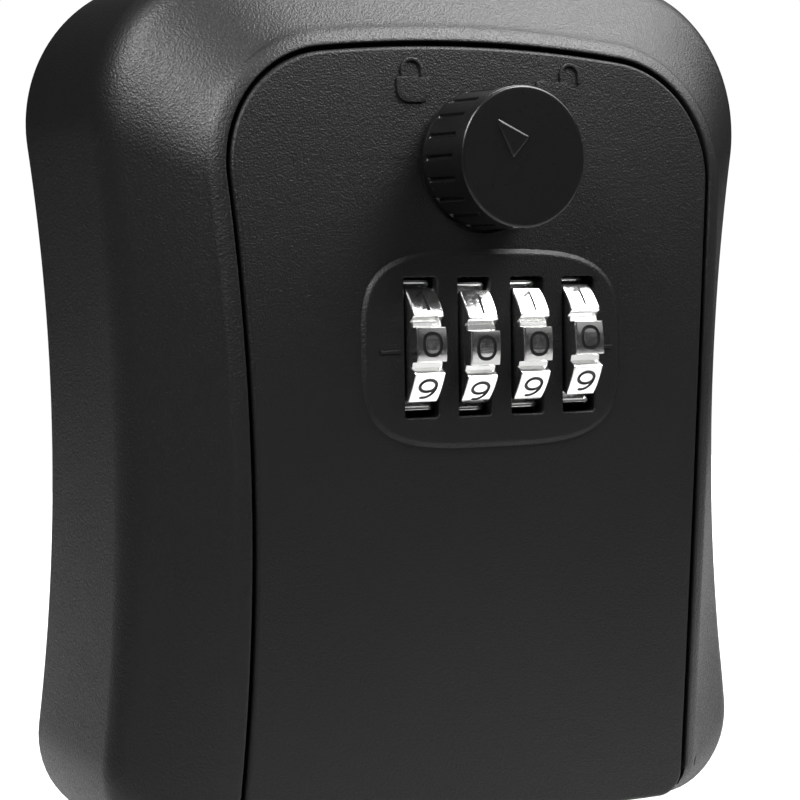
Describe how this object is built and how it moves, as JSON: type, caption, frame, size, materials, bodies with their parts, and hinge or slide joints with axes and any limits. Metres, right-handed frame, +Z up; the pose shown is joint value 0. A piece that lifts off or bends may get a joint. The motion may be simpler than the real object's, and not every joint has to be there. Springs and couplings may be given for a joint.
{
  "type": "key lock box",
  "caption": "Wall-mounted key safe with a waisted body, bottom-hinged door, turn knob, number dials and a sliding latch.",
  "frame": {"origin": "centre of the flat rear mounting face, midway up the body", "axes": "+Z up, +X to the right as seen from the front, +Y into the wall; the door and knob face -Y"},
  "size_m": [0.0992, 0.0518, 0.1216],
  "materials": {
    "housing_plastic": "fine-grained moulded black plastic",
    "door_plastic": "fine-grained moulded black plastic",
    "inner_plastic": "smooth moulded dark grey plastic",
    "knob_plastic": "satin moulded black plastic",
    "dial_metal": "plated metal, numbers engraved and filled black",
    "steel": "zinc-plated steel",
    "spring_steel": "bright spring steel",
    "zinc_plate": "stamped zinc-plated sheet",
    "brass": "turned brass",
    "lever_plastic": "moulded pale plastic"
  },
  "bodies": {
    "housing": {"rear_housing": "housing_plastic", "key_hook": "steel"},
    "door": {"door_panel": "door_plastic", "hinge_pins": "steel", "mechanism_cover": "inner_plastic", "cover_screws": "steel", "dial_frame": "zinc_plate", "frame_screws": "steel", "detent_comb": "spring_steel", "comb_screws": "steel", "latch_spring": "spring_steel", "reset_spring": "spring_steel"},
    "knob_body": {"knob": "knob_plastic", "knob_spindle": "steel", "latch_crank": "brass", "spindle_clip": "spring_steel"},
    "latch": {"latch_plate": "zinc_plate"},
    "carriage": {"dial_shaft": "steel", "shaft_clip": "spring_steel", "reset_lever": "lever_plastic"},
    "dial_1": {"dial_wheel_1": "dial_metal"},
    "disc_1": {"code_disc_1": "brass"},
    "dial_2": {"dial_wheel_2": "dial_metal"},
    "disc_2": {"code_disc_2": "brass"},
    "dial_3": {"dial_wheel_3": "dial_metal"},
    "disc_3": {"code_disc_3": "brass"},
    "dial_4": {"dial_wheel_4": "dial_metal"},
    "disc_4": {"code_disc_4": "brass"}
  },
  "joints": [
    {"name": "door_hinge", "type": "hinge", "parent": "housing", "child": "door", "pos_m": [0, -0.0359, -0.053], "axis": [1, 0, 0], "range_deg": [0, 100]},
    {"name": "knob_turn", "type": "hinge", "parent": "door", "child": "knob_body", "pos_m": [0, -0.046, 0.0322], "axis": [0, 1, 0], "range_deg": [0, 90]},
    {"name": "latch_slide", "type": "slide", "parent": "door", "child": "latch", "axis": [0, 0, -1], "range_m": [0, 0.00707], "deforming": ["latch_spring"]},
    {"name": "reset_slide", "type": "slide", "parent": "door", "child": "carriage", "axis": [1, 0, 0], "range_m": [0, 0.0018], "deforming": ["reset_spring"]},
    {"name": "dial_1_spin", "type": "hinge", "parent": "door", "child": "dial_1", "pos_m": [-0.01014, -0.0361, 0.00764], "axis": [1, 0, 0], "continuous": true},
    {"name": "disc_1_spin", "type": "hinge", "parent": "carriage", "child": "disc_1", "pos_m": [-0.01014, -0.0361, 0.00764], "axis": [1, 0, 0], "continuous": true},
    {"name": "dial_2_spin", "type": "hinge", "parent": "door", "child": "dial_2", "pos_m": [-0.00214, -0.0361, 0.00764], "axis": [1, 0, 0], "continuous": true},
    {"name": "disc_2_spin", "type": "hinge", "parent": "carriage", "child": "disc_2", "pos_m": [-0.00214, -0.0361, 0.00764], "axis": [1, 0, 0], "continuous": true},
    {"name": "dial_3_spin", "type": "hinge", "parent": "door", "child": "dial_3", "pos_m": [0.00586, -0.0361, 0.00764], "axis": [1, 0, 0], "continuous": true},
    {"name": "disc_3_spin", "type": "hinge", "parent": "carriage", "child": "disc_3", "pos_m": [0.00586, -0.0361, 0.00764], "axis": [1, 0, 0], "continuous": true},
    {"name": "dial_4_spin", "type": "hinge", "parent": "door", "child": "dial_4", "pos_m": [0.01386, -0.0361, 0.00764], "axis": [1, 0, 0], "continuous": true},
    {"name": "disc_4_spin", "type": "hinge", "parent": "carriage", "child": "disc_4", "pos_m": [0.01386, -0.0361, 0.00764], "axis": [1, 0, 0], "continuous": true}
  ],
  "couplings": [
    {"joint": "knob_turn", "follows": "latch_slide", "rad_per_m": 222.14},
    {"joint": "disc_1_spin", "follows": "dial_1_spin", "ratio": 1},
    {"joint": "disc_2_spin", "follows": "dial_2_spin", "ratio": 1},
    {"joint": "disc_3_spin", "follows": "dial_3_spin", "ratio": 1},
    {"joint": "disc_4_spin", "follows": "dial_4_spin", "ratio": 1}
  ]
}
